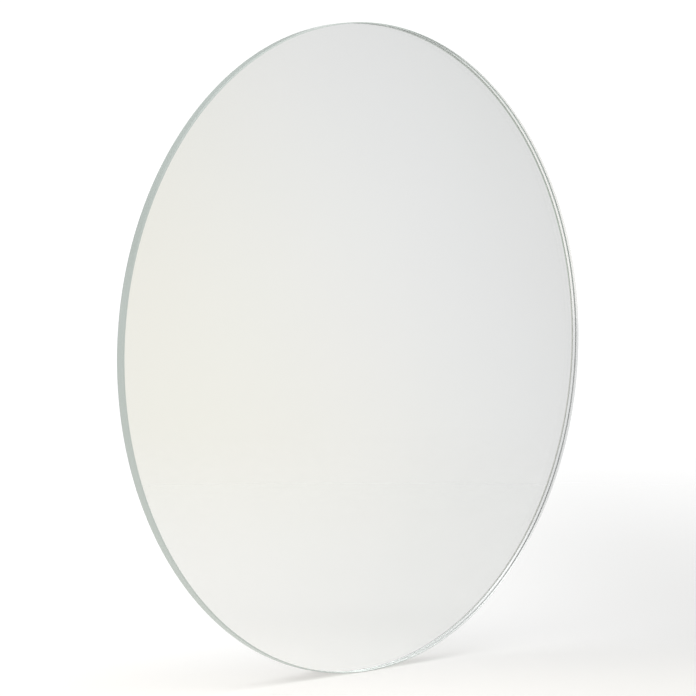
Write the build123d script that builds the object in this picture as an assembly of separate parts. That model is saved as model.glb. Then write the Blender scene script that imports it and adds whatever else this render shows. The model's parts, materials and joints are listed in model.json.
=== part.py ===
from build123d import *
import math
import os

# Countertop mirror: a frameless round glass mirror with a black board on its back. A wire stand folds flat
# into the board and swings out to stand the mirror on a counter. Folded, it lets the mirror hang up.
# Millimetres, +Z up. The glass faces -Y, +Y is the back, and +X is the right as seen from the front.
# The origin is level with the lowest point of the glass, midway between the glass and the wall bumpers' tips.

# Glass and the layers on its back. Real silver is a ten-thousandth of a millimetre thick. Here it is a solid.
mirror_diameter = 254.0
glass_thickness = 3.9
edge_arris = 0.4
silver_thickness = 0.05
paint_thickness = 0.10
film_thickness = 0.15
film_inset = 1.5

# Foam tape between the film and the board: four arcs of one ring
tape_thickness = 1.1
tape_width = 12.0
tape_inset = 9.0  # from the board's rim to the tape's outer edge
tape_arc = 56.0  # degrees
diagonals = {"upper_right": 45.0, "upper_left": 135.0, "lower_left": 225.0, "lower_right": 315.0}

# Board
board_inset = 14.0  # from the glass rim to the board's rim
board_thickness = 10.0
board_corner = 3.0
board_edge_round = 1.5
chin_lip = 6.5  # height of the chin's lower edge over the lowest point of the glass

# Rubber boot over the chin
foot_pad = 2.5  # under the chin, round its ends and on its back
foot_front_lip = 0.8  # in the gap that the tape leaves
foot_bar_clearance = 0.8  # from the boot's top edge up to the folded rod
foot_side_clearance = 1.5  # from the boot's end to the sleeve beside it
foot_round = 0.8

# Wire stand, as it lies folded
rod_diameter = 5.0
stand_width = 84.0  # between the middles of its legs
pivot_rise = 23.0  # from the middle of the glass up to the pivot line
foot_bar_height = 14.0
rod_bend = 8.0  # radius to the middle of the rod
toe_length = 5.5
toe_bend = 4.5
stand_open_angle = 35.0  # degrees from folded to the stop

# Room round the stand
rod_depth = 0.3  # from the board's back down to the folded rod
groove_clearance = 0.4
groove_corner = 3.5  # radius to the middle of the groove's second cut round the pivot bends
stop_clearance = 0.3
bearing_clearance = 0.05

# Rubber sleeves on the foot bar
sleeve_wall = 1.25
sleeve_length = 14.0
sleeve_clearance = 0.8

# Split bushes round the ends of the rod
bush_wall = 1.45
bush_length = 12.0
bush_split = 0.8
bush_side_gap = 1.0

# Clamps over the bushes
clamp_height = 27.0
clamp_recess = 2.5
clamp_proud = 4.6
clamp_wall = 3.0
clamp_corner = 3.0
clamp_round = 1.0
clamp_fit = 0.1
clamp_screw_rise = 9.0  # from the pivot to each screw

# Keyhole hanger
keyhole_drop = 35.0  # from the board's top edge to the middle of the round entry
keyhole_entry = 9.4
keyhole_slot = 4.4
keyhole_rise = 10.0
plate_length = 46.0
plate_margin = 3.5  # above and below the keyhole
plate_thickness = 1.5
plate_fit = 0.15
plate_screw_spacing = 34.0
pocket_width = 13.0
pocket_depth = 6.0
pocket_margin = 2.0  # past the entry below and the slot's end above

# Wall bumpers
bumper_diameter = 12.0
bumper_height = 5.6
bumper_inset = 21.0  # from the board's rim to the middle of each bumper

# Countersunk wood screws
screw_diameter = 3.0
screw_head = 5.8
screw_head_depth = 1.6
screw_tip = 1.5
screw_hole_clearance = 0.1
screw_drive = 2.6
screw_drive_slot = 0.7
screw_drive_depth = 1.0
screw_bite = 5.5  # how far a screw goes into the board

# Heights and radii that follow
mirror_radius = mirror_diameter / 2
board_radius = mirror_radius - board_inset
keyhole_height = mirror_radius + board_radius - keyhole_drop
keyhole_low = keyhole_height - keyhole_entry / 2
keyhole_high = keyhole_height + keyhole_rise + keyhole_slot / 2
plate_height = (keyhole_low + keyhole_high) / 2
plate_width = keyhole_high - keyhole_low + 2 * plate_margin
bumper_ring = board_radius - bumper_inset
rod_radius = rod_diameter / 2
sleeve_radius = rod_radius + sleeve_wall
bush_bore = rod_radius + bearing_clearance
bush_radius = bush_bore + bush_wall
board_flat = foot_bar_height + sleeve_radius + sleeve_clearance
boot_top = foot_bar_height - rod_radius - foot_bar_clearance
pivot_height = mirror_radius + pivot_rise
leg_x = stand_width / 2
toe_x = leg_x - rod_bend - bush_length - 2 * bush_side_gap - toe_bend
bush_x = leg_x - rod_bend - bush_side_gap - bush_length / 2
sleeve_inner_x = leg_x - rod_bend - sleeve_length
chin_width = 2 * (sleeve_inner_x - foot_side_clearance - foot_pad)
clamp_outer_x = leg_x - rod_bend
clamp_inner_x = toe_x - rod_radius - stop_clearance - clamp_wall

# Depths that follow, from the glass back to the bumpers
overall_depth = (
    glass_thickness + silver_thickness + paint_thickness + film_thickness
    + tape_thickness + board_thickness + bumper_height
)
glass_front = -overall_depth / 2
glass_back = glass_front + glass_thickness
silver_back = glass_back + silver_thickness
paint_back = silver_back + paint_thickness
film_back = paint_back + film_thickness
board_front = film_back + tape_thickness
board_back = board_front + board_thickness
rod_y = board_back - rod_depth - rod_radius
groove_floor = rod_y - rod_radius - groove_clearance


def slab(profile, near, far):
    """A flat profile, drawn in X and Z, as a solid that goes back from Y = near to Y = far."""
    return extrude(Plane.XZ.offset(-near) * profile, amount=near - far)


def axle(x, length, radius):
    """A cylinder of this length on the stand's pivot line, centred at x."""
    return Pos(x, rod_y, pivot_height) * Rot(0, 90, 0) * Cylinder(radius, length)


def mirror_glass():
    glass = slab(Pos(0, mirror_radius) * Circle(mirror_radius), glass_front, glass_back)
    rims = glass.edges().filter_by(GeomType.CIRCLE)
    return chamfer(rims, edge_arris)


def layer(inset, near, far):
    """A coat on the glass's back, this far inside its rim."""
    return slab(Pos(0, mirror_radius) * Circle(mirror_radius - inset), near, far)


def foam_tape(middle):
    """One arc of the tape ring, centred on this angle from +X."""
    outer = board_radius - tape_inset
    ring = Circle(outer) - Circle(outer - tape_width)
    far_x = 2 * outer * math.cos(math.radians(tape_arc / 2))
    far_z = 2 * outer * math.sin(math.radians(tape_arc / 2))
    wedge = Polygon((0, 0), (far_x, -far_z), (far_x, far_z), align=None)
    return slab(Pos(0, mirror_radius) * Rot(0, 0, middle) * (ring & wedge), film_back, board_front)


def chin_outline():
    """The tab that reaches down from the board, past the foot bar, to carry the mirror's weight."""
    top = board_flat + board_corner
    chin = Pos(0, (chin_lip + top) / 2) * Rectangle(chin_width, top - chin_lip)
    return fillet(chin.vertices().sort_by(Axis.Y)[:2], board_corner)


def board_outline():
    """The board's circle, cut flat over the folded foot bar, with the chin."""
    below = Pos(0, board_flat - mirror_radius) * Rectangle(mirror_diameter, mirror_diameter)
    outline = Pos(0, mirror_radius) * Circle(board_radius) - below + chin_outline()
    flat_corners = outline.vertices().filter_by(lambda v: abs(v.Y - board_flat) < board_corner / 2)
    return fillet(flat_corners, board_corner)


def rod_points(side):
    """Corners of half the folded rod in X and Z: the tip of its stop toe, the pivot line and the leg."""
    return [
        (side * toe_x, pivot_height - toe_length),
        (side * toe_x, pivot_height),
        (side * leg_x, pivot_height),
        (side * leg_x, foot_bar_height),
    ]


def rod_path(pivot_bend=rod_bend):
    """The middle line of the whole folded rod, in X and Z. pivot_bend is the bend from pivot to leg."""
    corners = rod_points(-1) + rod_points(1)[::-1]
    return FilletPolyline(*corners, radius=[toe_bend, pivot_bend, rod_bend, rod_bend, pivot_bend, toe_bend])


def rod_groove():
    """What the rod needs cut out of the board: a flat-floored groove with round ends, and with fuller corners
    at the pivot, where the bends of the rod come up as it swings."""
    width = rod_diameter + 2 * groove_clearance
    course = trace(rod_path(), width) + trace(rod_path(groove_corner), width)
    for side in (-1, 1):
        course += Pos(side * toe_x, pivot_height - toe_length) * Circle(width / 2)
    return slab(course, groove_floor, board_back + 1)


def toe_sweep():
    """Where one cranked end swings, from folded to the stop, seen along the pivot line: Y across and Z up."""
    room = Circle(rod_radius + stop_clearance)
    edges = room.edges()
    for part in (0, 0.5, 1):
        angle = math.radians(stand_open_angle * part)
        tip = Pos(toe_length * math.sin(angle), -toe_length * math.cos(angle))
        edges += (tip * room).edges()
    return make_hull(edges)


def clamp_middle(side):
    return side * (clamp_inner_x + clamp_outer_x) / 2


def clamp_profile(gap=0.0):
    width = clamp_outer_x - clamp_inner_x + 2 * gap
    return RectangleRounded(width, clamp_height + 2 * gap, clamp_corner + gap)


def hinge_clamp(side):
    """A cast block over one bush, hollowed for the bush, the rod and the swing of the rod's cranked end."""
    base = board_back - clamp_recess
    top = board_back + clamp_proud
    block = slab(Pos(clamp_middle(side), pivot_height) * clamp_profile(), base, top)
    block = fillet(block.faces().sort_by(Axis.Y)[-1].edges(), clamp_round)
    block -= axle(side * bush_x, bush_length, bush_radius)
    run = leg_x - toe_x
    block -= axle(side * (toe_x + run / 2), run, rod_radius + groove_clearance)
    inner = toe_x - rod_radius - stop_clearance
    outer = toe_x + toe_bend
    hollow = extrude(Plane.YZ * toe_sweep(), amount=(outer - inner) / 2, both=True)
    block -= Pos(side * (inner + outer) / 2, rod_y, pivot_height) * hollow
    for place in clamp_screw_places(side):
        block -= screw_room(*place, top)
    return block


def pivot_bush(side):
    """A plain bush round the end of the rod, split along its back so that the clamp can squeeze it."""
    bush = axle(side * bush_x, bush_length, bush_radius) - axle(side * bush_x, bush_length + 1, bush_bore)
    split_reach = 2 * bush_radius
    split = Box(bush_length + 1, split_reach, bush_split)
    return bush - Pos(side * bush_x, rod_y + split_reach / 2, pivot_height) * split


def clamp_screw_places(side):
    return [(side * bush_x, pivot_height + rise) for rise in (-clamp_screw_rise, clamp_screw_rise)]


def plate_screw_places():
    return [(side * plate_screw_spacing / 2, plate_height) for side in (-1, 1)]


def turned(outline, x, z, top):
    """A shape turned about a line along Y at x, z. Its outline is (radius, distance forwards of Y = top)."""
    face = Plane.XY * Polygon(*[(radius, -down) for radius, down in outline], align=None)
    return Pos(x, top, z) * revolve(face, Axis.Y)


def screw_room(x, z, top, deep=0.0):
    """The hole for one screw with its head at Y = top, with deep as the screw's length under its head."""
    shank = (screw_diameter + screw_hole_clearance) / 2
    head = (screw_head + screw_hole_clearance) / 2
    length = deep or 2 * (clamp_proud + clamp_recess)
    outline = [(0, -1), (head, -1), (head, 0), (shank, screw_head_depth), (shank, length), (0, length)]
    return turned(outline, x, z, top)


def screw(x, z, top, length):
    """One countersunk screw with a cross drive, its head level with Y = top."""
    shank = screw_diameter / 2
    head = screw_head / 2
    taper = length - screw_tip
    outline = [(0, 0), (head, 0), (shank, screw_head_depth), (shank, taper), (shank / 4, length), (0, length)]
    body = turned(outline, x, z, top)
    for turn in (0, 90):
        slot = Rot(0, turn, 0) * Box(screw_drive, 2 * screw_drive_depth, screw_drive_slot)
        body -= Pos(x, top, z) * slot
    return body


def screws(places, top, base):
    """Screws with heads at Y = top that bite into the board from Y = base."""
    length = top - base + screw_bite
    return Compound(children=[screw(x, z, top, length) for x, z in places])


def keyhole_outline():
    entry = Circle(keyhole_entry / 2)
    slot = Pos(0, keyhole_rise / 2) * Rectangle(keyhole_slot, keyhole_rise)
    end = Pos(0, keyhole_rise) * Circle(keyhole_slot / 2)
    return Pos(0, keyhole_height) * (entry + slot + end)


def plate_outline(gap=0.0):
    return Pos(0, plate_height) * SlotOverall(plate_length + 2 * gap, plate_width + 2 * gap)


def keyhole_plate():
    plate = slab(plate_outline() - keyhole_outline(), board_back - plate_thickness, board_back)
    for place in plate_screw_places():
        plate -= screw_room(*place, board_back)
    return plate


def hanger_pocket():
    """Room in the board for the head of the screw that the mirror hangs on."""
    pocket_height = keyhole_high - keyhole_low + 2 * pocket_margin
    pocket = Pos(0, plate_height) * RectangleRounded(pocket_width, pocket_height, pocket_width / 2 - 0.1)
    return slab(pocket, board_back - pocket_depth, board_back + 1)


def backing_board():
    board = slab(board_outline(), board_front, board_back)
    board = fillet(board.faces().sort_by(Axis.Y)[-1].edges(), board_edge_round)
    board -= rod_groove()
    board -= slab(plate_outline(plate_fit), board_back - plate_thickness, board_back + 1)
    board -= hanger_pocket()
    for side in (-1, 1):
        recess = Pos(clamp_middle(side), pivot_height) * clamp_profile(clamp_fit)
        board -= slab(recess, board_back - clamp_recess, board_back + 1)
        board -= axle(side * bush_x, bush_length, bush_radius)
        for place in clamp_screw_places(side):
            board -= screw_room(*place, board_back - clamp_recess, screw_bite)
    for place in plate_screw_places():
        board -= screw_room(*place, board_back - plate_thickness, screw_bite)
    return board


def base_foot():
    """A rubber boot over the chin's lower end: closed under it, at its ends, and front and back."""
    above = Pos(0, boot_top + mirror_radius) * Rectangle(mirror_diameter, mirror_diameter)
    outline = offset(chin_outline(), foot_pad) - above
    boot = slab(outline, board_front - foot_front_lip, board_back + foot_pad)
    rim = boot.faces().sort_by(Axis.Y)[-1].edges()
    boot = fillet(rim, foot_round)
    return boot - slab(chin_outline(), board_front, board_back)


def stand_frame():
    """One rod, bent in a plane: two cranked ends, two legs and the foot bar."""
    path = Plane.XZ.offset(-rod_y) * rod_path()
    section = Plane(path @ 0, z_dir=path % 0) * Circle(rod_radius)
    return sweep(section, path=path)


def foot_sleeve(side):
    """A rubber sleeve on the foot bar, against the bend."""
    x = side * (sleeve_inner_x + sleeve_length / 2)
    place = Pos(x, rod_y, foot_bar_height) * Rot(0, 90, 0)
    return place * (Cylinder(sleeve_radius, sleeve_length) - Cylinder(rod_radius, sleeve_length))


def wall_bumper(middle):
    """A rubber button on the board's back, on the ring of bumpers at this angle from +X."""
    angle = math.radians(middle)
    x = bumper_ring * math.cos(angle)
    z = mirror_radius + bumper_ring * math.sin(angle)
    button = slab(Pos(x, z) * Circle(bumper_diameter / 2), board_back, board_back + bumper_height)
    return fillet(button.faces().sort_by(Axis.Y)[-1].edges(), bumper_height / 3)


def build():
    clamp_places = clamp_screw_places(-1) + clamp_screw_places(1)
    nodes = {
        "mirror_glass": mirror_glass(),
        "silver_layer": layer(edge_arris, glass_back, silver_back),
        "backing_paint": layer(edge_arris, silver_back, paint_back),
        "safety_film": layer(film_inset, paint_back, film_back),
        "backing_board": backing_board(),
        "base_foot": base_foot(),
        "keyhole_plate": keyhole_plate(),
        "keyhole_screws": screws(plate_screw_places(), board_back, board_back - plate_thickness),
        "clamp_screws": screws(clamp_places, board_back + clamp_proud, board_back - clamp_recess),
        "stand_frame": stand_frame(),
    }
    for name, side in (("left", -1), ("right", 1)):
        nodes["hinge_clamp_" + name] = hinge_clamp(side)
        nodes["pivot_bush_" + name] = pivot_bush(side)
        nodes["foot_sleeve_" + name] = foot_sleeve(side)
    for name, middle in diagonals.items():
        nodes["foam_tape_" + name] = foam_tape(middle)
        nodes["wall_bumper_" + name] = wall_bumper(middle)
    return nodes


os.makedirs("parts", exist_ok=True)
for name, shape in build().items():
    export_step(shape, "parts/" + name + ".step")
print("pivot line: X at Y =", round(rod_y, 3), "Z =", pivot_height)
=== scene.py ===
import json
import math

import bmesh
import bpy
import numpy as np
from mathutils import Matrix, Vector

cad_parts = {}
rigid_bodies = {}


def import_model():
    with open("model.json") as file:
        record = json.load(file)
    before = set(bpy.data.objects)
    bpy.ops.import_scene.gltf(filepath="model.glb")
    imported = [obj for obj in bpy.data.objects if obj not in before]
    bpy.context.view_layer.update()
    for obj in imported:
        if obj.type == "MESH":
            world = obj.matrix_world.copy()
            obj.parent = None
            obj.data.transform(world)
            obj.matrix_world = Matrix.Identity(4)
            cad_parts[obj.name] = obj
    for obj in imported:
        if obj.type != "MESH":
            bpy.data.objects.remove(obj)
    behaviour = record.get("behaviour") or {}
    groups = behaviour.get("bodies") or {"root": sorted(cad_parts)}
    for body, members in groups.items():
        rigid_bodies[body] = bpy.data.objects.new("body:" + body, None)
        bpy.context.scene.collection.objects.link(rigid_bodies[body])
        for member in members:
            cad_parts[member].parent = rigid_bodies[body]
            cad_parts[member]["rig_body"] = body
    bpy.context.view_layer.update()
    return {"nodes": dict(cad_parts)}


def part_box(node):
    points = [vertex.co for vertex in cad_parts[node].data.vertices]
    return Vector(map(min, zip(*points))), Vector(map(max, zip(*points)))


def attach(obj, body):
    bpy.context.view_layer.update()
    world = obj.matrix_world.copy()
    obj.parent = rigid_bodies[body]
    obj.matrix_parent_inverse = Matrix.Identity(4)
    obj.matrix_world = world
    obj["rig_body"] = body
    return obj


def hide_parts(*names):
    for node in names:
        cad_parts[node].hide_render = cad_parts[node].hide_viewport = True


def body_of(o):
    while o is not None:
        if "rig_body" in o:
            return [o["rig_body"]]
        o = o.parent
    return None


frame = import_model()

scene = bpy.context.scene
mm = 0.001
print("frame loaded:", len(frame["nodes"]), "nodes")


# shared tools

def linear(hexColour):
    # sRGB share s as linear light: s / 12.92 up to 0.04045, else ((s + 0.055) / 1.055) ^ 2.4
    shares = [int(hexColour[i:i + 2], 16) / 255 for i in (1, 3, 5)]
    return tuple(s / 12.92 if s <= 0.04045 else ((s + 0.055) / 1.055) ** 2.4 for s in shares) + (1.0,)


def addNode(tree, kind, inputs=None, **settings):
    # inputs is {socket name or number: its value, or the output that goes into it}
    node = tree.nodes.new("ShaderNode" + kind)
    for name, value in settings.items():
        setattr(node, name, value)
    for name, value in (inputs or {}).items():
        if isinstance(value, bpy.types.NodeSocket):
            tree.links.new(value, node.inputs[name])
        else:
            node.inputs[name].default_value = value
    return node


def newMaterial(name, inputs):
    # a material whose Principled shader has these inputs, with its tree, its shader and Object coordinates
    material = bpy.data.materials.new(name)
    material.use_nodes = True
    tree = material.node_tree
    shader = next(n for n in tree.nodes if n.type == "BSDF_PRINCIPLED")
    for socket, value in inputs.items():
        shader.inputs[socket].default_value = value
    return material, tree, shader, addNode(tree, "TexCoord").outputs["Object"]


def meshPiece(name, points, faces, material, body, smoothUnder=35):
    # points is (count, 3) in metres, and faces a list of (count, corners) index arrays
    mesh = bpy.data.meshes.new(name)
    corners = np.concatenate([f.ravel() for f in faces])
    sizes = np.concatenate([np.full(len(f), f.shape[1]) for f in faces])
    mesh.vertices.add(len(points))
    mesh.vertices.foreach_set("co", points.astype(np.float32).ravel())
    mesh.loops.add(len(corners))
    mesh.loops.foreach_set("vertex_index", corners.astype(np.int32))
    mesh.polygons.add(len(sizes))
    mesh.polygons.foreach_set("loop_start", np.concatenate([[0], np.cumsum(sizes)[:-1]]).astype(np.int32))
    mesh.update(calc_edges=True)
    mesh.validate()
    mesh.shade_smooth()
    mesh.set_sharp_from_angle(angle=math.radians(smoothUnder))
    mesh.materials.append(material)
    piece = bpy.data.objects.new(name, mesh)
    scene.collection.objects.link(piece)
    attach(piece, body)
    return piece


def gridFaces(rows, columns, rowsClose=False):
    # quads between neighbouring rings of a grid; rowsClose also joins the last ring to the first
    row = np.arange(rows if rowsClose else rows - 1)[:, None]
    column = np.arange(columns)[None, :]
    nextRow, nextColumn = (row + 1) % rows, (column + 1) % columns
    quads = np.stack([row * columns + column, row * columns + nextColumn,
                      nextRow * columns + nextColumn, nextRow * columns + column], axis=-1)
    return quads.reshape(-1, 4)


def spokesRound(axis, steps):
    # cos(turn) * across + sin(turn) * (axis x across), for turns evenly round the axis
    axis = np.array(axis, float)
    across = np.array([0.0, 0.0, 1.0])
    turn = np.arange(steps) / steps * 2 * math.pi
    return axis, np.cos(turn)[:, None] * across + np.sin(turn)[:, None] * np.cross(axis, across)


def turnedSolid(profile, centre, axis, steps):
    # point = centre + axis * distance + spoke * radius, for a profile of (distance, radius) from pole to pole
    profile = np.array(profile, float)
    axis, spokes = spokesRound(axis, steps)
    rings = profile[1:-1]
    body = np.array(centre) + rings[:, 0, None, None] * axis + rings[:, 1, None, None] * spokes
    poles = np.array(centre) + profile[[0, -1], 0, None] * axis
    points = np.concatenate([body.reshape(-1, 3), poles])
    ring = np.arange(steps)
    after, last = (ring + 1) % steps, (len(rings) - 1) * steps
    start = np.stack([np.full(steps, len(points) - 2), after, ring], axis=1)
    end = np.stack([last + ring, last + after, np.full(steps, len(points) - 1)], axis=1)
    return points, [gridFaces(len(rings), steps), start, end]


def turnedRing(loop, centre, axis, steps):
    # point = centre + axis * distance + spoke * radius, for a closed loop of (distance, radius)
    loop = np.array(loop, float)
    axis, spokes = spokesRound(axis, steps)
    points = np.array(centre) + loop[:, 0, None, None] * axis + loop[:, 1, None, None] * spokes
    return points.reshape(-1, 3), [gridFaces(len(loop), steps, rowsClose=True)]


def arcPoints(centre, radius, start, end, steps):
    # centre + radius * (cos, sin) of the angles from start to end, in degrees
    angle = np.radians(np.linspace(start, end, steps))
    return list(zip(centre[0] + radius * np.cos(angle), centre[1] + radius * np.sin(angle)))


def roundedRun(corners, radii, steps):
    # straight runs joined by arcs: each arc starts radius / tan(half the corner's angle) before its corner,
    # and its points turn evenly about the centre from one run's direction to the next
    corners = np.array(corners, float)
    made = [corners[:1]]
    for here, radius in zip(range(1, len(corners) - 1), radii):
        before, after = corners[here - 1] - corners[here], corners[here + 1] - corners[here]
        before, after = before / np.linalg.norm(before), after / np.linalg.norm(after)
        half = math.acos(float(before @ after)) / 2
        middle = (before + after) / np.linalg.norm(before + after)
        centre = corners[here] + middle * radius / math.sin(half)
        first = corners[here] + before * radius / math.tan(half) - centre
        last = corners[here] + after * radius / math.tan(half) - centre
        sweep = math.pi - 2 * half
        share = np.linspace(0, 1, steps + 1)[:, None]
        turned = np.sin((1 - share) * sweep) * first + np.sin(share * sweep) * last
        made.append(centre + turned / math.sin(sweep))
    return np.concatenate(made + [corners[-1:]])


def cadCopy(node, name, material, rim, segments=2):
    # the node's own shape, its corners joined and its flat faces whole, with its edges broken by rim
    mesh = bpy.data.meshes.new(name)
    grid = bmesh.new()
    grid.from_mesh(frame["nodes"][node].data)
    bmesh.ops.remove_doubles(grid, verts=grid.verts, dist=1e-6)
    bmesh.ops.dissolve_limit(grid, angle_limit=math.radians(0.3), verts=grid.verts, edges=grid.edges)
    grid.to_mesh(mesh)
    grid.free()
    mesh.materials.clear()
    mesh.materials.append(material)
    mesh.shade_smooth()
    mesh.set_sharp_from_angle(angle=math.radians(35))
    piece = bpy.data.objects.new(name, mesh)
    scene.collection.objects.link(piece)
    bevel = piece.modifiers.new("brokenEdges", "BEVEL")
    bevel.width = rim
    bevel.segments = segments
    bevel.limit_method = "ANGLE"
    bevel.angle_limit = math.radians(40)
    weighted = piece.modifiers.new("flatFacesLead", "WEIGHTED_NORMAL")
    weighted.weight = 100
    weighted.keep_sharp = True
    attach(piece, body_of(frame["nodes"][node])[0])
    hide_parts(node)
    return piece


def standsFor(piece, node):
    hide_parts(node)
    return piece


def boxMiddle(node):
    low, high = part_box(node)
    return np.array((low + high) / 2), low, high


# the glass and the coats behind it

glassLook = {
    "arris": 0.4 * mm,
    "steps": 720,
    "face": "#FFFFFF", "faceDeep": "#FDFFFE",  # a large, faint drift in the melt's green
    "edge": "#BCC4C0", "edgeDeep": "#B4BDB8", "edgeInside": "#D9DEDC",
    "edgeRoughness": 0.18,
    "wheelMarks": 0.35 * mm,  # between the marks of the polishing wheel
    "wheelBump": 0.05, "wheelDepth": 0.02 * mm,
    "meltDrift": 90 * mm, "silverDrift": 60 * mm, "silverSink": 0.02 * mm,
    "green": "#CDEBDB", "greenDensity": 0.6,
    "silver": "#FAFAFA", "silverDeep": "#F8F8F8",
}


def floatGlass(name, colour, deep, roughness):
    # soda-lime float glass: clear and flat, green only where light goes a long way inside it
    material, tree, shader, place = newMaterial(name, {
        "IOR": 1.52, "Transmission Weight": 1.0, "Roughness": roughness})
    drift = addNode(tree, "TexNoise", {"Vector": place, "Scale": 1 / glassLook["meltDrift"], "Detail": 2.0})
    tone = addNode(tree, "Mix", {0: drift.outputs[0], 6: linear(colour), 7: linear(deep)}, data_type="RGBA")
    tree.links.new(tone.outputs[2], shader.inputs["Base Color"])
    absorb = addNode(tree, "VolumeAbsorption", {
        "Color": linear(glassLook["green"]), "Density": glassLook["greenDensity"]})
    output = next(n for n in tree.nodes if n.type == "OUTPUT_MATERIAL")
    tree.links.new(absorb.outputs[0], output.inputs["Volume"])
    return material, tree, shader, place


def wheelPolishedEdge():
    # the same glass ground flat and polished on a wheel: from outside a pale grey-green band with a soft
    # sheen and fine level marks, from inside the glass as clear as its face
    material, tree, shader, place = floatGlass(
        "wheelPolishedEdge", glassLook["edge"], glassLook["edgeDeep"], glassLook["edgeRoughness"])
    inside = addNode(tree, "NewGeometry").outputs["Backfacing"]
    outer = shader.inputs["Base Color"].links[0].from_socket
    tint = addNode(tree, "Mix", {0: inside, 6: outer, 7: linear(glassLook["edgeInside"])}, data_type="RGBA")
    tree.links.new(tint.outputs[2], shader.inputs["Base Color"])
    tree.links.new(inside, shader.inputs["Transmission Weight"])
    rows = addNode(tree, "VectorMath", {
        0: place, 1: (0.0, 1 / glassLook["wheelMarks"], 0.0)}, operation="MULTIPLY")
    marks = addNode(tree, "TexNoise", {"Vector": rows.outputs[0], "Scale": 1.0, "Detail": 3.0})
    bump = addNode(tree, "Bump", {
        "Height": marks.outputs[0], "Strength": glassLook["wheelBump"], "Distance": glassLook["wheelDepth"]})
    tree.links.new(bump.outputs[0], shader.inputs["Normal"])
    return material


def mirrorGlass():
    # profile of the disc: front face, front arris, flat edge, back arris, back face
    middle, low, high = boxMiddle("mirror_glass")
    radius, depth, arris = (high[0] - low[0]) / 2, high[1] - low[1], glassLook["arris"]
    soft = arris / 8
    profile = [
        (0, 0), (0, radius - arris - soft), (soft / 2, radius - arris), (arris, radius - soft / 2),
        (arris + soft, radius), (depth - arris - soft, radius), (depth - arris, radius - soft / 2),
        (depth - soft / 2, radius - arris), (depth, radius - arris - soft), (depth, 0)]
    points, faces = turnedSolid(profile, (middle[0], low[1], middle[2]), (0, 1, 0), glassLook["steps"])
    face = floatGlass("floatGlass", glassLook["face"], glassLook["faceDeep"], 0.0)[0]
    piece = meshPiece("mirrorGlass", points, faces, face, "mirror", 20)
    piece.data.materials.append(wheelPolishedEdge())
    normals = np.empty(len(piece.data.polygons) * 3, np.float32)
    piece.data.polygons.foreach_get("normal", normals)
    onEdge = np.abs(normals.reshape(-1, 3)[:, 1]) < 0.97  # all but the two flat faces and their soft corners
    piece.data.polygons.foreach_set("material_index", onEdge.astype(np.int32))
    return standsFor(piece, "mirror_glass")


def coat(node, name, material, sink=0.0):
    # a flat disc with square edges, sunk this far forwards
    middle, low, high = boxMiddle(node)
    radius, depth = (high[0] - low[0]) / 2, high[1] - low[1] + sink
    profile = [(0, 0), (0, radius), (depth, radius), (depth, 0)]
    points, faces = turnedSolid(profile, (middle[0], low[1] - sink, middle[2]), (0, 1, 0), glassLook["steps"])
    return standsFor(meshPiece(name, points, faces, material, "mirror"), node)


def chemicalSilver():
    # silver laid on the glass in a bath: the mirror itself, even and all but neutral
    material, tree, shader, place = newMaterial("chemicalSilver", {"Metallic": 1.0, "Roughness": 0.0})
    drift = addNode(tree, "TexNoise", {"Vector": place, "Scale": 1 / glassLook["silverDrift"], "Detail": 1.0})
    colour = addNode(tree, "Mix", {
        0: drift.outputs[0], 6: linear(glassLook["silver"]), 7: linear(glassLook["silverDeep"])},
        data_type="RGBA")
    tree.links.new(colour.outputs[2], shader.inputs["Base Color"])
    return material


coatLook = {
    "paint": "#8C9294", "paintDeep": "#7F8688", "peel": 1.1 * mm,  # the orange peel of a sprayed coat
    "film": "#E9EAE8", "filmThread": "#CFD2D1", "weave": 5.0 * mm, "thread": 0.35 * mm,
}


def bakedPaint():
    # grey mirror-backing paint, sprayed and baked: faint orange peel
    material, tree, shader, place = newMaterial("bakedBackingPaint", {"Roughness": 0.5})
    peel = addNode(tree, "TexNoise", {
        "Vector": place, "Scale": 1 / coatLook["peel"], "Detail": 2.0}).outputs[0]
    bump = addNode(tree, "Bump", {"Height": peel, "Strength": 0.3, "Distance": 0.05 * mm})
    colour = addNode(tree, "Mix", {
        0: peel, 6: linear(coatLook["paint"]), 7: linear(coatLook["paintDeep"])}, data_type="RGBA")
    tree.links.new(colour.outputs[2], shader.inputs["Base Color"])
    tree.links.new(bump.outputs[0], shader.inputs["Normal"])
    return material


def wovenFilm():
    # white polyethylene film over a woven net: threads stand up under it along both diagonals
    material, tree, shader, place = newMaterial("wovenSafetyFilm", {"Roughness": 0.32})
    turned = addNode(tree, "VectorRotate", {
        "Vector": place, "Angle": math.radians(45)}, rotation_type="Y_AXIS")
    split = addNode(tree, "SeparateXYZ", {0: turned.outputs[0]})
    threads = []
    for way in (0, 2):
        cell = addNode(tree, "Math", {0: split.outputs[way], 1: coatLook["weave"]}, operation="PINGPONG")
        near = addNode(tree, "MapRange", {
            0: cell.outputs[0], 1: 0.0, 2: coatLook["thread"], 3: 1.0, 4: 0.0},
            interpolation_type="SMOOTHSTEP")
        threads.append(near.outputs[0])
    net = addNode(tree, "Math", {0: threads[0], 1: threads[1]}, operation="MAXIMUM").outputs[0]
    bump = addNode(tree, "Bump", {"Height": net, "Strength": 0.6, "Distance": 0.1 * mm})
    colour = addNode(tree, "Mix", {
        0: net, 6: linear(coatLook["film"]), 7: linear(coatLook["filmThread"])}, data_type="RGBA")
    tree.links.new(colour.outputs[2], shader.inputs["Base Color"])
    tree.links.new(bump.outputs[0], shader.inputs["Normal"])
    return material


mirrorGlass()
coat("silver_layer", "silverLayer", chemicalSilver(), sink=glassLook["silverSink"])
coat("backing_paint", "backingPaint", bakedPaint())
coat("safety_film", "safetyFilm", wovenFilm())
print("glass and coats made")


# foam tape

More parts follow.
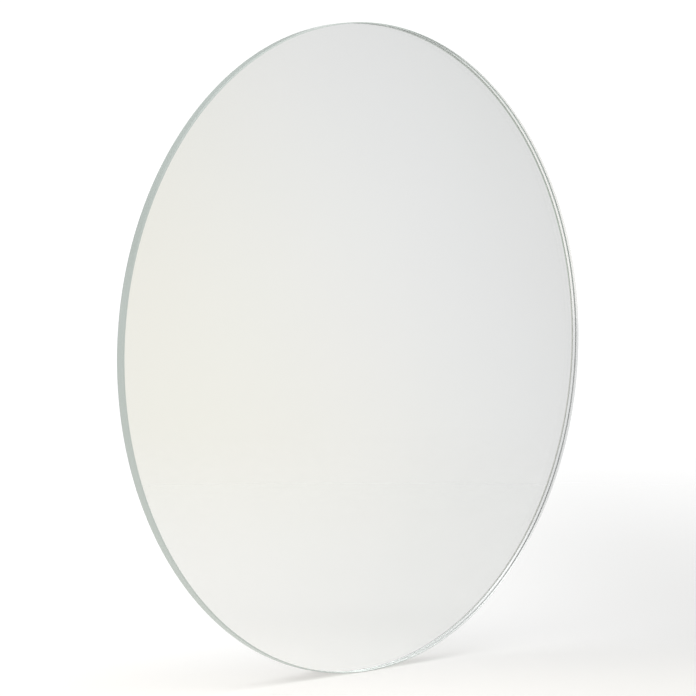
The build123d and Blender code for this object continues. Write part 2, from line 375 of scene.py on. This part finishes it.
tapeLook = {
    "outer": 104 * mm, "width": 12 * mm, "arc": 56.0, "soft": 0.2 * mm, "steps": 48,
    "foam": "#C4C5C3", "cell": "#A9ABA9", "cellSize": 0.25 * mm,
}
diagonals = {"upper_right": 45.0, "upper_left": 135.0, "lower_left": 225.0, "lower_right": 315.0}


def acrylicFoam():
    # closed-cell acrylic foam: matt, with fine cells on its cut sides
    material, tree, shader, place = newMaterial("acrylicFoam", {"Roughness": 0.85})
    cells = addNode(tree, "TexVoronoi", {"Vector": place, "Scale": 1 / tapeLook["cellSize"]}).outputs[0]
    bump = addNode(tree, "Bump", {"Height": cells, "Strength": 0.5, "Distance": 0.05 * mm})
    colour = addNode(tree, "Mix", {
        0: cells, 6: linear(tapeLook["cell"]), 7: linear(tapeLook["foam"])}, data_type="RGBA")
    tree.links.new(colour.outputs[2], shader.inputs["Base Color"])
    tree.links.new(bump.outputs[0], shader.inputs["Normal"])
    return material


def foamTape(diagonal, middleAngle, material):
    # point = ring centre + (rho * cos(a), depth, rho * sin(a)), for a loop of (depth, rho) swept over the arc
    node = "foam_tape_" + diagonal
    centre = boxMiddle("mirror_glass")[0]
    near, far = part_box(node)[0][1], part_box(node)[1][1]
    outer, inner, soft = tapeLook["outer"], tapeLook["outer"] - tapeLook["width"], tapeLook["soft"]
    loop = np.array([
        (near, inner), (near, outer), (near + soft, outer - soft / 2), (far - soft, outer - soft / 2),
        (far, outer), (far, inner), (far - soft, inner + soft / 2), (near + soft, inner + soft / 2)])
    half = tapeLook["arc"] / 2
    angle = np.radians(np.linspace(middleAngle - half, middleAngle + half, tapeLook["steps"]))[:, None]
    points = np.stack([
        centre[0] + loop[:, 1] * np.cos(angle), np.broadcast_to(loop[:, 0], (len(angle), len(loop))),
        centre[2] + loop[:, 1] * np.sin(angle)], axis=-1)
    count = len(loop)
    start = np.arange(count)[None, ::-1]
    end = (len(angle) - 1) * count + np.arange(count)[None, :]
    piece = meshPiece("foamTape." + diagonal, points.reshape(-1, 3),
                      [gridFaces(len(angle), count), start, end], material, "mirror")
    return standsFor(piece, node)


foam = acrylicFoam()
for diagonal, middleAngle in diagonals.items():
    foamTape(diagonal, middleAngle, foam)
print("foam tape made")


# board

boardLook = {
    "edge": 0.25 * mm, "routedFrom": 0.06 * mm, "peel": 1.6 * mm, "fibre": 0.5 * mm,
    "lacquer": "#191919", "lacquerDeep": "#111112", "routed": "#262321", "routedDeep": "#131211",
}


def lacqueredBoard():
    # fibreboard under black lacquer: a satin sheen broken by orange peel and by fibres that show through
    material, tree, shader, place = newMaterial("blackLacqueredFibreboard", {"Roughness": 0.34})
    peel = addNode(tree, "TexNoise", {
        "Vector": place, "Scale": 1 / boardLook["peel"], "Detail": 2.0}).outputs[0]
    fibre = addNode(tree, "TexNoise", {
        "Vector": place, "Scale": 1 / boardLook["fibre"], "Detail": 6.0}).outputs[0]
    sheen = addNode(tree, "MapRange", {0: fibre, 1: 0.3, 2: 0.7, 3: 0.22, 4: 0.42})
    height = addNode(tree, "Math", {0: fibre, 1: 0.25, 2: peel}, operation="MULTIPLY_ADD")
    bump = addNode(tree, "Bump", {"Height": height.outputs[0], "Strength": 0.9, "Distance": 0.12 * mm})
    colour = addNode(tree, "Mix", {
        0: fibre, 6: linear(boardLook["lacquer"]), 7: linear(boardLook["lacquerDeep"])}, data_type="RGBA")
    tree.links.new(colour.outputs[2], shader.inputs["Base Color"])
    tree.links.new(sheen.outputs[0], shader.inputs["Roughness"])
    tree.links.new(bump.outputs[0], shader.inputs["Normal"])
    return material


def routedBoard():
    # the same board where a cutter went through the face: open fibre that soaked up the lacquer, quite matt
    material, tree, shader, place = newMaterial("routedFibreboard", {"Roughness": 0.8})
    fibre = addNode(tree, "TexNoise", {
        "Vector": place, "Scale": 1 / boardLook["fibre"], "Detail": 8.0}).outputs[0]
    bump = addNode(tree, "Bump", {"Height": fibre, "Strength": 0.7, "Distance": 0.15 * mm})
    colour = addNode(tree, "Mix", {
        0: fibre, 6: linear(boardLook["routed"]), 7: linear(boardLook["routedDeep"])}, data_type="RGBA")
    tree.links.new(colour.outputs[2], shader.inputs["Base Color"])
    tree.links.new(bump.outputs[0], shader.inputs["Normal"])
    return material


def backingBoard():
    # faces below the back and well inside the rim are the routed ones
    piece = cadCopy("backing_board", "backingBoard", lacqueredBoard(), boardLook["edge"])
    piece.data.materials.append(routedBoard())
    low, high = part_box("backing_board")
    middle = boxMiddle("mirror_glass")[0]
    centres = np.empty(len(piece.data.polygons) * 3, np.float32)
    piece.data.polygons.foreach_get("center", centres)
    centres = centres.reshape(-1, 3)
    below = (centres[:, 1] < high[1] - boardLook["routedFrom"]) & (centres[:, 1] > low[1] + 0.5 * mm)
    reach = np.hypot(centres[:, 0] - middle[0], centres[:, 2] - middle[2])
    inside = (reach < (high[0] - low[0]) / 2 - 4 * mm) & (centres[:, 2] > middle[2] - 104 * mm)
    piece.data.polygons.foreach_set("material_index", (below & inside).astype(np.int32))
    return piece


backingBoard()
print("board made")


# rubber: the boot under the board, the sleeves on the stand and the buttons on the back

rubberLook = {
    "black": "#1C1C1D", "bloom": "#2B2B2C", "bumper": "#2A2A2B", "bumperBloom": "#383839",
    "roughness": 0.6, "bumperRoughness": 0.5,
    "skin": 0.6 * mm, "patch": 7 * mm, "bootEdge": 0.35 * mm,
}


def mouldedRubber(name, colour, bloom, roughness):
    # moulded from a blasted tool: fine grain, with a grey bloom that comes up in patches
    material, tree, shader, place = newMaterial(name, {"Roughness": roughness, "Specular IOR Level": 0.4})
    grain = addNode(tree, "TexNoise", {
        "Vector": place, "Scale": 1 / rubberLook["skin"], "Detail": 6.0}).outputs[0]
    patch = addNode(tree, "TexNoise", {
        "Vector": place, "Scale": 1 / rubberLook["patch"], "Detail": 3.0}).outputs[0]
    sheen = addNode(tree, "MapRange", {0: patch, 1: 0.3, 2: 0.7, 3: roughness - 0.06, 4: roughness + 0.08})
    bump = addNode(tree, "Bump", {"Height": grain, "Strength": 0.4, "Distance": 0.04 * mm})
    tone = addNode(tree, "Mix", {0: patch, 6: linear(colour), 7: linear(bloom)}, data_type="RGBA")
    tree.links.new(tone.outputs[2], shader.inputs["Base Color"])
    tree.links.new(sheen.outputs[0], shader.inputs["Roughness"])
    tree.links.new(bump.outputs[0], shader.inputs["Normal"])
    return material


sleeveLook = {"rib": 0.35 * mm, "pitch": 2.0 * mm, "chamfer": 0.5 * mm, "plainEnd": 1.4 * mm, "steps": 96}


def footSleeve(side, material):
    # loop of (distance along the bar, radius): bore, chamfered end, ribs and shallow grooves, other end
    node = "foot_sleeve_" + side
    middle, low, high = boxMiddle(node)
    length, outer = high[0] - low[0], (high[1] - low[1]) / 2
    bore = (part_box("stand_frame")[1][1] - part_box("stand_frame")[0][1]) / 2
    chamfer, pitch = sleeveLook["chamfer"], sleeveLook["pitch"]
    along = np.linspace(-length / 2 + chamfer, length / 2 - chamfer, 113)
    groove = np.clip(np.cos(along / pitch * 2 * math.pi) * 2 - 0.9, 0, 1)
    groove[np.abs(along) > length / 2 - sleeveLook["plainEnd"]] = 0
    loop = [(-length / 2, bore), (-length / 2, outer - chamfer)]
    loop += list(zip(along, outer - sleeveLook["rib"] * groove))
    loop += [(length / 2, outer - chamfer), (length / 2, bore)]
    points, faces = turnedRing(loop, middle, (1, 0, 0), sleeveLook["steps"])
    return standsFor(meshPiece("footSleeve." + side, points, faces, material, "stand"), node)


bumperLook = {
    "draft": 0.35 * mm, "round": 1.7 * mm, "dimple": 0.35 * mm, "dimpleRadius": 2.2 * mm, "steps": 96,
}


def wallBumper(diagonal, material):
    # profile of (distance from the board, radius): drafted side, rounded rim, flat tip, dimple from the mould
    node = "wall_bumper_" + diagonal
    middle, low, high = boxMiddle(node)
    radius, height = (high[0] - low[0]) / 2, high[1] - low[1]
    top, rim, dimple = radius - bumperLook["draft"], bumperLook["round"], bumperLook["dimpleRadius"]
    profile = [(0, 0), (0, radius - 0.15 * mm), (0.15 * mm, radius)]
    profile += arcPoints((height - rim, top - rim), rim, 90, 0, 14)
    profile += [(height, dimple + 0.2 * mm)]
    profile += [(height - bumperLook["dimple"] * (1 - s ** 2), s * dimple) for s in np.linspace(1, 0, 10)]
    points, faces = turnedSolid(profile, (middle[0], low[1], middle[2]), (0, 1, 0), bumperLook["steps"])
    piece = meshPiece("wallBumper." + diagonal, points, faces, material, "mirror")
    return standsFor(piece, node)


rubber = mouldedRubber("mouldedRubber", rubberLook["black"], rubberLook["bloom"], rubberLook["roughness"])
bumperRubber = mouldedRubber(
    "mouldedBumperRubber", rubberLook["bumper"], rubberLook["bumperBloom"], rubberLook["bumperRoughness"])
cadCopy("base_foot", "baseFoot", rubber, rubberLook["bootEdge"], 3)
for side in ("left", "right"):
    footSleeve(side, rubber)
for diagonal in diagonals:
    wallBumper(diagonal, bumperRubber)
print("rubber pieces made")


# the stand, its clamps and bushes

rodLook = {
    "toe": 15.5 * mm, "toeLength": 5.5 * mm, "toeBend": 4.5 * mm, "bend": 8.0 * mm, "tip": 0.4 * mm,
    "sides": 64, "steps": 28, "chrome": "#DDDEE0", "chromeDeep": "#CFD1D4", "buffing": 1.5 * mm,
}


def platedChrome():
    # bright chrome over nickel on drawn wire: a near mirror with faint buffing streaks
    material, tree, shader, place = newMaterial("nickelChromePlate", {"Metallic": 1.0, "Roughness": 0.07})
    streaks = addNode(tree, "TexNoise", {
        "Vector": place, "Scale": 1 / rodLook["buffing"], "Detail": 5.0}).outputs[0]
    sheen = addNode(tree, "MapRange", {0: streaks, 1: 0.3, 2: 0.7, 3: 0.05, 4: 0.12})
    bump = addNode(tree, "Bump", {"Height": streaks, "Strength": 0.06, "Distance": 0.02 * mm})
    colour = addNode(tree, "Mix", {
        0: streaks, 6: linear(rodLook["chrome"]), 7: linear(rodLook["chromeDeep"])}, data_type="RGBA")
    tree.links.new(colour.outputs[2], shader.inputs["Base Color"])
    tree.links.new(sheen.outputs[0], shader.inputs["Roughness"])
    tree.links.new(bump.outputs[0], shader.inputs["Normal"])
    return material


def standFrame():
    # point = path + radius * (cos(a) * inPlane + sin(a) * Y): a round bar along the bent path, tips chamfered
    middle, low, high = boxMiddle("stand_frame")
    radius = (high[1] - low[1]) / 2
    leg, foot, pivot = high[0] - radius, low[2] + radius, high[2] - radius
    toe, tipHeight = rodLook["toe"], pivot - rodLook["toeLength"]
    corners = [(-toe, tipHeight), (-toe, pivot), (-leg, pivot), (-leg, foot),
               (leg, foot), (leg, pivot), (toe, pivot), (toe, tipHeight)]
    bend, toeBend, tip = rodLook["bend"], rodLook["toeBend"], rodLook["tip"]
    run = roundedRun(corners, [toeBend, bend, bend, bend, bend, toeBend], rodLook["steps"])
    rise = np.array([[0.0, tip]])
    run = np.concatenate([run[:1], run[:1] + rise, run[1:-1], run[-1:] + rise, run[-1:]])
    girth = np.full(len(run), radius)
    girth[[0, -1]] = radius - tip
    along = np.gradient(run, axis=0)
    along /= np.linalg.norm(along, axis=1)[:, None]
    angle = np.arange(rodLook["sides"]) / rodLook["sides"] * 2 * math.pi
    side = np.stack([along[:, 1], -along[:, 0]], axis=1)
    flat = run[:, None, :] + girth[:, None, None] * np.cos(angle)[None, :, None] * side[:, None, :]
    deep = middle[1] + girth[:, None] * np.sin(angle)[None, :]
    points = np.stack([flat[..., 0], deep, flat[..., 1]], axis=-1)
    count = len(angle)
    start = np.arange(count)[None, ::-1]
    end = (len(run) - 1) * count + np.arange(count)[None, :]
    piece = meshPiece("standFrame", points.reshape(-1, 3), [gridFaces(len(run), count), start, end],
                      platedChrome(), "stand")
    return standsFor(piece, "stand_frame")


clampLook = {
    "edge": 0.3 * mm, "bushEdge": 0.1 * mm, "nickel": "#B4B4B2", "nickelDeep": "#A3A3A1", "casting": 0.9 * mm,
    "acetal": "#E9E7E0", "acetalDeep": "#DFDCD3", "cloud": 3 * mm,
}


def satinNickel():
    # zinc casting, tumbled and satin nickel plated: warm grey, soft grain, pits too small to count
    material, tree, shader, place = newMaterial("satinNickelCasting", {"Metallic": 1.0, "Roughness": 0.33})
    grain = addNode(tree, "TexNoise", {
        "Vector": place, "Scale": 1 / clampLook["casting"], "Detail": 8.0}).outputs[0]
    sheen = addNode(tree, "MapRange", {0: grain, 1: 0.3, 2: 0.7, 3: 0.26, 4: 0.4})
    bump = addNode(tree, "Bump", {"Height": grain, "Strength": 0.45, "Distance": 0.06 * mm})
    colour = addNode(tree, "Mix", {
        0: grain, 6: linear(clampLook["nickel"]), 7: linear(clampLook["nickelDeep"])}, data_type="RGBA")
    tree.links.new(colour.outputs[2], shader.inputs["Base Color"])
    tree.links.new(sheen.outputs[0], shader.inputs["Roughness"])
    tree.links.new(bump.outputs[0], shader.inputs["Normal"])
    return material


def naturalAcetal():
    # turned acetal: milky, waxy and slightly see-through
    material, tree, shader, place = newMaterial("naturalAcetal", {
        "Roughness": 0.4, "Subsurface Weight": 0.2, "Subsurface Scale": 1.0 * mm})
    cloud = addNode(tree, "TexNoise", {
        "Vector": place, "Scale": 1 / clampLook["cloud"], "Detail": 3.0}).outputs[0]
    colour = addNode(tree, "Mix", {
        0: cloud, 6: linear(clampLook["acetal"]), 7: linear(clampLook["acetalDeep"])}, data_type="RGBA")
    tree.links.new(colour.outputs[2], shader.inputs["Base Color"])
    return material


standFrame()
casting, acetal = satinNickel(), naturalAcetal()
for side in ("left", "right"):
    cadCopy("hinge_clamp_" + side, "hingeClamp." + side, casting, clampLook["edge"])
    cadCopy("pivot_bush_" + side, "pivotBush." + side, acetal, clampLook["bushEdge"])
print("stand made")


# the keyhole plate and the screws

zincLook = {
    "sheet": "#C3C8CC", "sheetDeep": "#B0B6BC", "straw": "#C9C6B4", "rolling": 0.4 * mm, "patch": 9 * mm,
    "screw": "#BFC2C4", "screwDeep": "#A6AAAD", "sheetEdge": 0.12 * mm, "screwEdge": 0.06 * mm,
    "sheetStretch": 25.0, "screwStretch": 1.0,  # how much longer than wide the lines are
}


def zincPlate(name, colour, deep, lineStretch):
    # bright zinc with a clear passivate: bluish, with straw patches; on rolled sheet, fine level lines too
    material, tree, shader, place = newMaterial(name, {"Metallic": 1.0, "Roughness": 0.25})
    drawn = addNode(tree, "Mapping", {"Vector": place, "Scale": (1 / lineStretch, 1.0, 1.0)}).outputs[0]
    lines = addNode(tree, "TexNoise", {
        "Vector": drawn, "Scale": 1 / zincLook["rolling"], "Detail": 4.0}).outputs[0]
    patch = addNode(tree, "TexNoise", {
        "Vector": place, "Scale": 1 / zincLook["patch"], "Detail": 2.0}).outputs[0]
    amount = addNode(tree, "MapRange", {0: patch, 1: 0.45, 2: 0.75, 3: 0.0, 4: 0.5}).outputs[0]
    sheen = addNode(tree, "MapRange", {0: lines, 1: 0.3, 2: 0.7, 3: 0.2, 4: 0.36})
    bump = addNode(tree, "Bump", {"Height": lines, "Strength": 0.15, "Distance": 0.03 * mm})
    metal = addNode(tree, "Mix", {0: lines, 6: linear(colour), 7: linear(deep)}, data_type="RGBA").outputs[2]
    tinted = addNode(tree, "Mix", {0: amount, 6: metal, 7: linear(zincLook["straw"])}, data_type="RGBA")
    tree.links.new(tinted.outputs[2], shader.inputs["Base Color"])
    tree.links.new(sheen.outputs[0], shader.inputs["Roughness"])
    tree.links.new(bump.outputs[0], shader.inputs["Normal"])
    return material


screwZinc = zincPlate("zincPlatedScrew", zincLook["screw"], zincLook["screwDeep"], zincLook["screwStretch"])
sheetZinc = zincPlate("zincPlatedSheet", zincLook["sheet"], zincLook["sheetDeep"], zincLook["sheetStretch"])
cadCopy("keyhole_plate", "keyholePlate", sheetZinc, zincLook["sheetEdge"])
cadCopy("keyhole_screws", "keyholeScrews", screwZinc, zincLook["screwEdge"])
cadCopy("clamp_screws", "clampScrews", screwZinc, zincLook["screwEdge"])
print("hanger and screws made")


# floor, light and camera

stageLook = {
    "radius": 1.4, "solid": 0.1, "gone": 1.3,  # metres
    "floor": "#B6B6B5", "floorDeep": "#B2B2B1",
    "glow": 0.60, "leftGlow": 0.41, "rightGlow": 0.29,  # painted glow that washes out the floor's shadows: less where the mirror faces, so the mirror shows the floor darker, and less on the right than the left
    "facing": (0.71, -0.70, 0.0), "dims": (-0.06, 0.18),  # which way it dims, and over what distance
    "across": (0.70, 0.71, 0.0), "leftToRight": (-0.1, 0.12),
    # the glow's colour, cream on the left and plain on the right: a painted tint on the floor that the mirror
    # shows
    "warm": "#FFFCF6", "plain": "#FFFFFF",
}
lightLook = {
    "mean": 45.6,  # where the mirror's own reflection points, in degrees round from square on
    "behind": 1.08,  # what shows past the mirror
    "bright": 0.93, "dim": 0.72,  # what the mirror shows: a broad light, low on its left, and its wall
    "aside": -0.05, "low": -0.09,  # where that light is
    "narrow": 3.08, "flat": 2.41,  # how fast it falls off to the side and upwards
    "cream": "#FEFCF4", "grey": "#FEFEFE",
    "frontWalls": 0.80, "backWalls": 0.32, "ceiling": 2.1,
    "flags": 0.12, "flagAside": 0.38,  # two narrow black flags behind, for dark streaks on bright metal
    "eye": (-0.717, -0.697, 0.0), "camera": 0.82,  # what the glass's far edge turns back to the eye
}


def paleFloor():
    # a disc under the mirror with a painted glow, no lamp under it, that washes out its shadows and sets the
    # tone the mirror shows; it fades into the surroundings
    turn = np.arange(128) / 128 * 2 * math.pi
    points = np.stack([np.cos(turn), np.sin(turn), np.zeros(128)], axis=1) * stageLook["radius"]
    mesh = bpy.data.meshes.new("paleFloor")
    mesh.from_pydata(points.tolist(), [], [list(range(128))])
    floor = bpy.data.objects.new("paleFloor", mesh)
    scene.collection.objects.link(floor)
    material, tree, shader, place = newMaterial("floorWithPaintedGlow", {
        "Roughness": 0.8, "Specular IOR Level": 0.0})
    cloud = addNode(tree, "TexNoise", {"Vector": place, "Scale": 3.0, "Detail": 2.0}).outputs[0]
    colour = addNode(tree, "Mix", {
        0: cloud, 6: linear(stageLook["floor"]), 7: linear(stageLook["floorDeep"])}, data_type="RGBA")
    tree.links.new(colour.outputs[2], shader.inputs["Base Color"])
    shares = []
    for way, span in (("facing", "dims"), ("across", "leftToRight")):
        along = addNode(tree, "VectorMath", {0: place, 1: stageLook[way]}, operation="DOT_PRODUCT")
        begins, whole = stageLook[span]
        share = addNode(tree, "MapRange", {
            0: along.outputs["Value"], 1: begins, 2: whole}, interpolation_type="SMOOTHSTEP")
        shares.append(share.outputs[0])
    faced, aside = shares
    front = addNode(tree, "MapRange", {
        0: aside, 3: stageLook["leftGlow"], 4: stageLook["rightGlow"]}).outputs[0]
    glow = addNode(tree, "MapRange", {0: faced, 3: stageLook["glow"], 4: front}).outputs[0]
    # painted light: the floor glows by itself, filling its own shadows, and dims where the mirror faces
    tree.links.new(glow, shader.inputs["Emission Strength"])
    # painted tint: the glow turns cream on the left, where the mirror shows the floor
    tone = addNode(tree, "Mix", {
        0: aside, 6: linear(stageLook["warm"]), 7: linear(stageLook["plain"])}, data_type="RGBA")
    tree.links.new(tone.outputs[2], shader.inputs["Emission Color"])
    reach = addNode(tree, "VectorMath", {0: place}, operation="LENGTH")
    fade = addNode(tree, "MapRange", {
        0: reach.outputs["Value"], 1: stageLook["solid"], 2: stageLook["gone"]},
        interpolation_type="SMOOTHSTEP")
    clear = addNode(tree, "BsdfTransparent")
    blend = addNode(tree, "MixShader", {0: fade.outputs[0], 1: shader.outputs[0], 2: clear.outputs[0]})
    output = next(n for n in tree.nodes if n.type == "OUTPUT_MATERIAL")
    tree.links.new(blend.outputs[0], output.inputs["Surface"])
    mesh.materials.append(material)


def studioWorld():
    # a white sweep behind, grey walls and a broad ceiling light; the mirror shows cream that drifts to grey
    world = bpy.data.worlds.new("studio")
    scene.world = world
    world.use_nodes = True
    tree = world.node_tree
    background = next(n for n in tree.nodes if n.type == "BACKGROUND")
    way = addNode(tree, "TexCoord").outputs["Generated"]
    mean = math.radians(lightLook["mean"])
    ahead = Vector((math.sin(mean), -math.cos(mean), 0))
    across = Vector((math.cos(mean), math.sin(mean), 0))
    aheadness = addNode(tree, "VectorMath", {0: way, 1: ahead}, operation="DOT_PRODUCT").outputs["Value"]
    sideways = addNode(tree, "VectorMath", {0: way, 1: across}, operation="DOT_PRODUCT").outputs["Value"]
    aside, depth, height = addNode(tree, "SeparateXYZ", {0: way}).outputs
    # tone = bright - (narrow * (sideways - aside)) ^ 2 - (flat * (height - low)) ^ 2, and never under dim
    tone = lightLook["bright"]
    for measure, centre, rate in ((sideways, "aside", "narrow"), (height, "low", "flat")):
        off = addNode(tree, "Math", {0: measure, 1: lightLook[centre]}, operation="SUBTRACT").outputs[0]
        off = addNode(tree, "Math", {0: off, 1: lightLook[rate]}, operation="MULTIPLY").outputs[0]
        squared = addNode(tree, "Math", {0: off, 1: off}, operation="MULTIPLY").outputs[0]
        tone = addNode(tree, "Math", {0: tone, 1: squared}, operation="SUBTRACT").outputs[0]
    tone = addNode(tree, "Math", {0: tone, 1: lightLook["dim"], 2: 0.06}, operation="SMOOTH_MAX")
    slant = addNode(tree, "Math", {0: height, 1: 0.5, 2: sideways}, operation="MULTIPLY_ADD").outputs[0]
    creamier = addNode(tree, "MapRange", {
        0: slant, 1: -0.1, 2: 0.03, 3: 1.0, 4: 0.0}, interpolation_type="SMOOTHSTEP").outputs[0]
    hue = addNode(tree, "Mix", {
        0: creamier, 6: linear(lightLook["grey"]), 7: linear(lightLook["cream"])}, data_type="RGBA")
    layer = addNode(tree, "VectorMath", {0: hue.outputs[2], 3: tone.outputs[0]}, operation="SCALE").outputs[0]
    strips = addNode(tree, "Math", {0: aside}, operation="ABSOLUTE").outputs[0]
    strips = addNode(tree, "Math", {0: strips, 1: lightLook["flagAside"]}, operation="SUBTRACT").outputs[0]
    strips = addNode(tree, "Math", {0: strips}, operation="ABSOLUTE").outputs[0]
    strips = addNode(tree, "Math", {0: strips, 1: -6.0, 2: depth}, operation="MULTIPLY_ADD").outputs[0]
    walls = addNode(tree, "MapRange", {
        0: depth, 1: -0.2, 2: 0.3, 3: lightLook["frontWalls"], 4: lightLook["backWalls"]})
    toCamera = addNode(tree, "VectorMath", {0: way, 1: lightLook["eye"]}, operation="DOT_PRODUCT")
    layers = [  # where each takes over from the ones before, and its brightness
        (aheadness, 0.92, 0.6, lightLook["behind"]),
        (toCamera.outputs["Value"], 0.80, 0.97, lightLook["camera"]),
        (strips, 0.45, 0.65, lightLook["flags"]),
        (height, 0.2, 0.4, walls.outputs[0]),
        (height, 0.72, 0.86, lightLook["ceiling"]),
    ]
    for measure, begins, whole, brightness in layers:
        share = addNode(tree, "MapRange", {0: measure, 1: begins, 2: whole}, interpolation_type="SMOOTHSTEP")
        if not isinstance(brightness, bpy.types.NodeSocket):
            brightness = (brightness,) * 3 + (1.0,)
        mixed = addNode(tree, "Mix", {0: share.outputs[0], 6: layer, 7: brightness}, data_type="RGBA")
        layer = mixed.outputs[2]
    tree.links.new(layer, background.inputs["Color"])


cameraPlace = {
    "azimuth": -45.81, "elevation": 3.23,  # degrees round from square on, and up
    "distance": 10.0,  # in mirror radii
    "span": 325.2 / 696,  # of the frame's width, what one mirror radius covers at that distance
    "aside": 19.7 / 696, "down": 0.7 / 696,  # from the frame's middle to the glass's, right and down
}


def studioCamera():
    middle, low, high = boxMiddle("mirror_glass")
    radius = (high[0] - low[0]) / 2
    turn, lift = math.radians(cameraPlace["azimuth"]), math.radians(cameraPlace["elevation"])
    back = Vector((math.sin(turn) * math.cos(lift), -math.cos(turn) * math.cos(lift), math.sin(lift)))
    data = bpy.data.cameras.new("camera")
    data.sensor_width = 36
    data.lens = data.sensor_width * cameraPlace["span"] * cameraPlace["distance"]
    data.shift_x, data.shift_y = -cameraPlace["aside"], cameraPlace["down"]
    data.clip_start, data.clip_end = 0.01, 50
    camera = bpy.data.objects.new("camera", data)
    camera.location = Vector((middle[0], low[1], middle[2])) + back * radius * cameraPlace["distance"]
    camera.rotation_euler = back.to_track_quat("Z", "Y").to_euler()
    scene.collection.objects.link(camera)
    scene.camera = camera


scene.view_settings.view_transform = "Standard"
bounces = 24  # light goes back and forth in the glass many times
scene.cycles.max_bounces = bounces
scene.cycles.transmission_bounces = bounces
scene.cycles.glossy_bounces = bounces
paleFloor()
studioWorld()
studioCamera()
print("stage ready")
